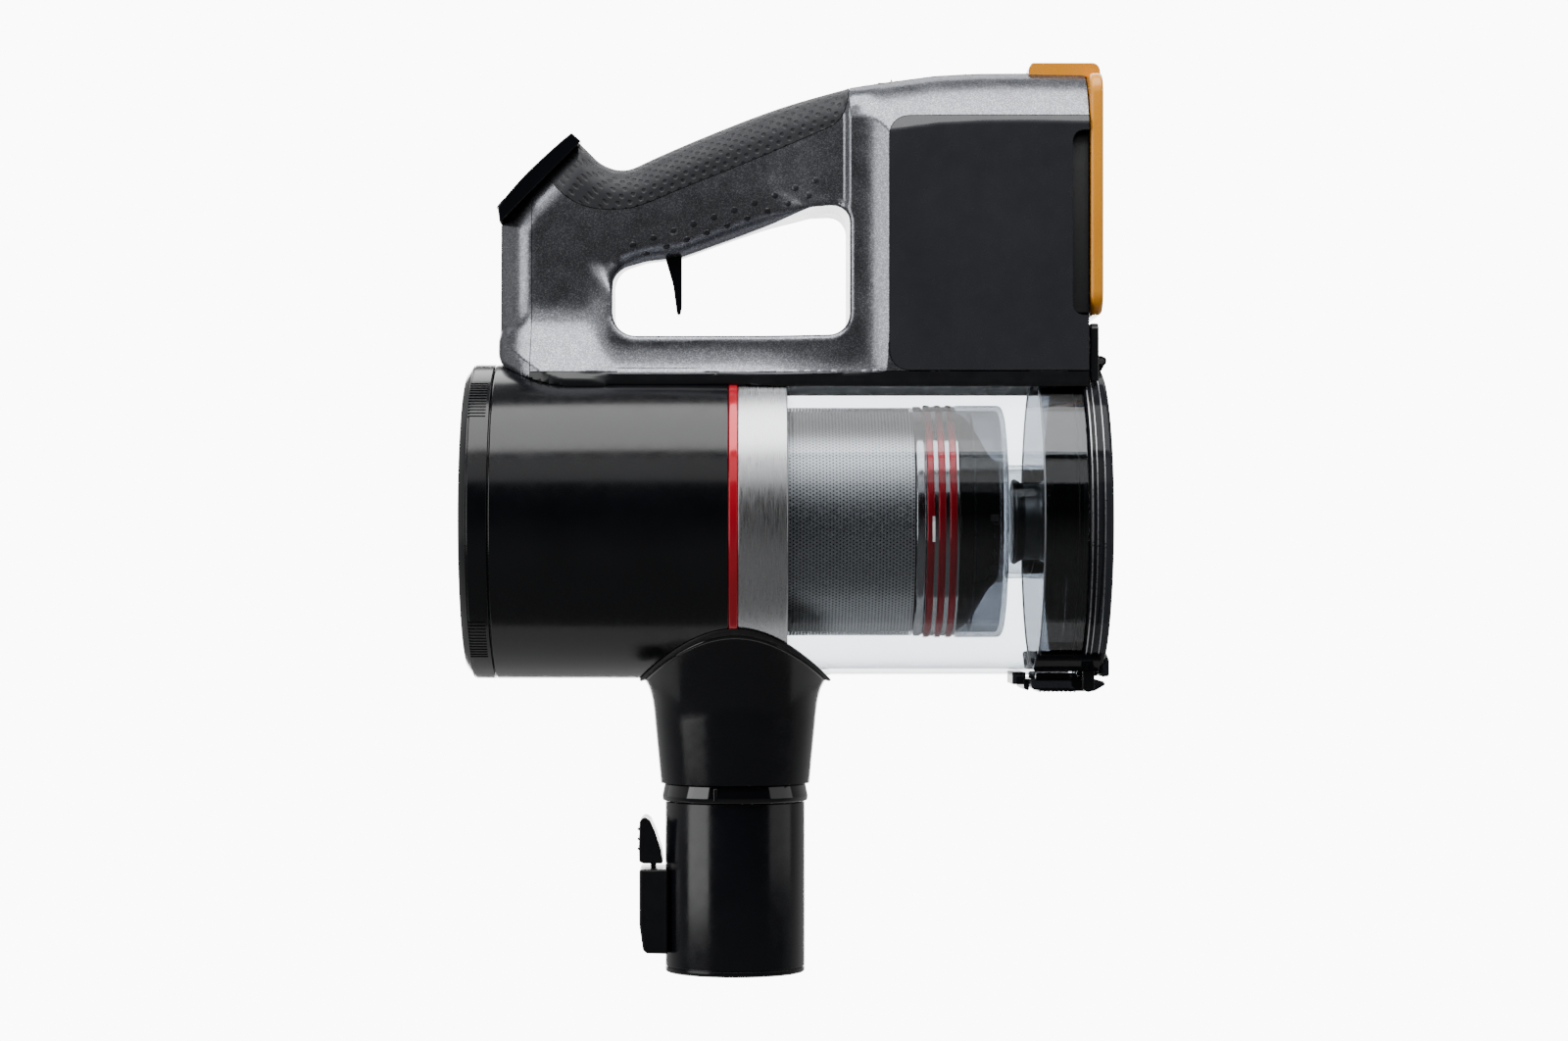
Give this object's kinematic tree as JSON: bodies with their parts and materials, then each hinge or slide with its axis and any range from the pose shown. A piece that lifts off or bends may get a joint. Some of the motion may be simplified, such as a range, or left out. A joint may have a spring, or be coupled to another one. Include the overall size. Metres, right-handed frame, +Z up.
{
  "type": "handheld vacuum",
  "caption": "Cordless stick vacuum hand unit: horizontal motor drum, clear cyclone bin, loop handle with rear battery, and downward wand socket with side latch.",
  "frame": {"origin": "centre of the wand socket's mouth at the bottom of the lower tube", "axes": "+Z up along the socket and neck, +X to the rear, where the bin lid and battery are, +Y to the machine's far side"},
  "size_m": [0.2586, 0.128, 0.368],
  "materials": {
    "housing_black": "piano black, high gloss",
    "red_accent": "translucent-looking red, glossy",
    "brushed_band": "brushed round the axis",
    "inner_plastic": "moulded",
    "filter_foam": "open-cell foam",
    "motor_metal": "turned",
    "copper_core": "wound stator",
    "bearing_steel": "ground",
    "neck_plastic": "gloss",
    "seal_rubber": "matte",
    "dark_metallic": "fine metallic paint on plastic",
    "grip_rubber": "soft touch, dimpled",
    "panel_black": "piano black",
    "button_grey": "satin",
    "side_panel_dark": "satin black",
    "trigger_black": "gloss",
    "board_green": "glass-fibre board",
    "amber_cover": "metallic amber",
    "battery_black": "fine texture",
    "cell_wrap": "shrink-wrapped steel cell",
    "clear_bin": "clear polycarbonate",
    "screen_steel": "etched mesh",
    "chrome_ring": "bright",
    "silver_core": "satin",
    "smoked_clear": "smoked polycarbonate",
    "cone_dark": "moulded",
    "lid_plastic": "gloss dark"
  },
  "bodies": {
    "body": {"motor_housing": "housing_black", "accent_ring": "red_accent", "trim_band": "brushed_band", "motor_bulkhead": "inner_plastic", "bin_plate": "inner_plastic", "inlet_duct": "inner_plastic", "pre_filter": "filter_foam", "motor_can": "motor_metal", "stator": "copper_core", "motor_frame": "motor_metal", "bearings": "bearing_steel", "motor_cradle": "inner_plastic", "inlet_neck": "neck_plastic", "neck_seal": "seal_rubber", "neck_collar": "neck_plastic", "wand_tube": "neck_plastic", "latch_box": "neck_plastic", "latch_pin": "bearing_steel", "handle_left": "dark_metallic", "handle_right": "dark_metallic", "handle_nose": "dark_metallic", "base_trim": "seal_rubber", "grip_cover": "grip_rubber", "control_panel": "panel_black", "side_panel_left": "side_panel_dark", "side_panel_right": "side_panel_dark", "shell_screws": "bearing_steel", "trigger_pin": "bearing_steel", "main_pcb": "board_green", "rear_block": "battery_black"},
    "rotor": {"rotor_shaft": "bearing_steel", "rotor_magnet": "bearing_steel", "impeller": "inner_plastic"},
    "exhaust": {"exhaust_cap": "housing_black", "exhaust_filter": "filter_foam"},
    "wand_lever": {"wand_latch": "neck_plastic"},
    "trigger": {"trigger": "trigger_black"},
    "power": {"power_button": "button_grey"},
    "turbo": {"turbo_button": "button_grey"},
    "minus": {"minus_button": "button_grey"},
    "plus": {"plus_button": "button_grey"},
    "bin_button": {"bin_release": "button_grey"},
    "battery": {"battery_case": "battery_black", "battery_cells": "cell_wrap", "battery_cover": "amber_cover"},
    "battery_button": {"battery_release": "battery_black"},
    "bin": {"bin_shell": "clear_bin", "screen_flange": "inner_plastic", "mesh_screen": "screen_steel", "screen_ring": "chrome_ring", "cyclone_core": "silver_core", "cyclone_rings": "red_accent", "cyclone_shell": "smoked_clear", "cyclone_cone": "cone_dark", "hinge_pin": "bearing_steel"},
    "lid": {"bin_lid": "lid_plastic", "lid_seal": "seal_rubber", "lid_tube": "cone_dark", "dust_cone": "chrome_ring"},
    "lid_catch": {"lid_latch": "lid_plastic"}
  },
  "joints": [
    {"name": "rotor_spin", "type": "hinge", "parent": "body", "child": "rotor", "pos_m": [0, 0, 0.183], "axis": [1, 0, 0], "continuous": true},
    {"name": "exhaust_cap_twist", "type": "hinge", "parent": "body", "child": "exhaust", "pos_m": [-0.1, 0, 0.183], "axis": [1, 0, 0], "range_deg": [0, 25]},
    {"name": "wand_latch_press", "type": "hinge", "parent": "body", "child": "wand_lever", "pos_m": [-0.0335, 0, 0.04], "axis": [0, 1, 0], "range_deg": [0, 6], "stiffness_Nm_per_rad": 0.6},
    {"name": "trigger_pull", "type": "hinge", "parent": "body", "child": "trigger", "pos_m": [-0.025, 0, 0.3], "axis": [0, -1, 0], "range_deg": [0, 7], "stiffness_Nm_per_rad": 0.15},
    {"name": "power_press", "type": "slide", "parent": "body", "child": "power", "axis": [0.7071, 0, -0.7071], "range_m": [0, 0.0008], "stiffness_N_per_m": 600},
    {"name": "turbo_press", "type": "slide", "parent": "body", "child": "turbo", "axis": [0.7071, 0, -0.7071], "range_m": [0, 0.0008], "stiffness_N_per_m": 600},
    {"name": "minus_press", "type": "slide", "parent": "body", "child": "minus", "axis": [0.7071, 0, -0.7071], "range_m": [0, 0.0008], "stiffness_N_per_m": 600},
    {"name": "plus_press", "type": "slide", "parent": "body", "child": "plus", "axis": [0.7071, 0, -0.7071], "range_m": [0, 0.0008], "stiffness_N_per_m": 600},
    {"name": "bin_release_press", "type": "slide", "parent": "body", "child": "bin_button", "axis": [-1, 0, 0], "range_m": [0, 0.0012], "stiffness_N_per_m": 600},
    {"name": "battery_slide", "type": "slide", "parent": "body", "child": "battery", "axis": [1, 0, 0], "range_m": [0, 0.16]},
    {"name": "battery_release_press", "type": "slide", "parent": "battery", "child": "battery_button", "axis": [-1, 0, 0], "range_m": [0, 0.0012], "stiffness_N_per_m": 600},
    {"name": "bin_slide", "type": "slide", "parent": "body", "child": "bin", "axis": [1, 0, 0], "range_m": [0, 0.2]},
    {"name": "lid_swing", "type": "hinge", "parent": "bin", "child": "lid", "pos_m": [0.1476, 0, 0.2474], "axis": [0, -1, 0], "range_deg": [0, 85]},
    {"name": "lid_latch_pull", "type": "hinge", "parent": "lid", "child": "lid_catch", "pos_m": [0.1418, 0, 0.1168], "axis": [0, -1, 0], "range_deg": [0, 6], "stiffness_Nm_per_rad": 0.3}
  ]
}
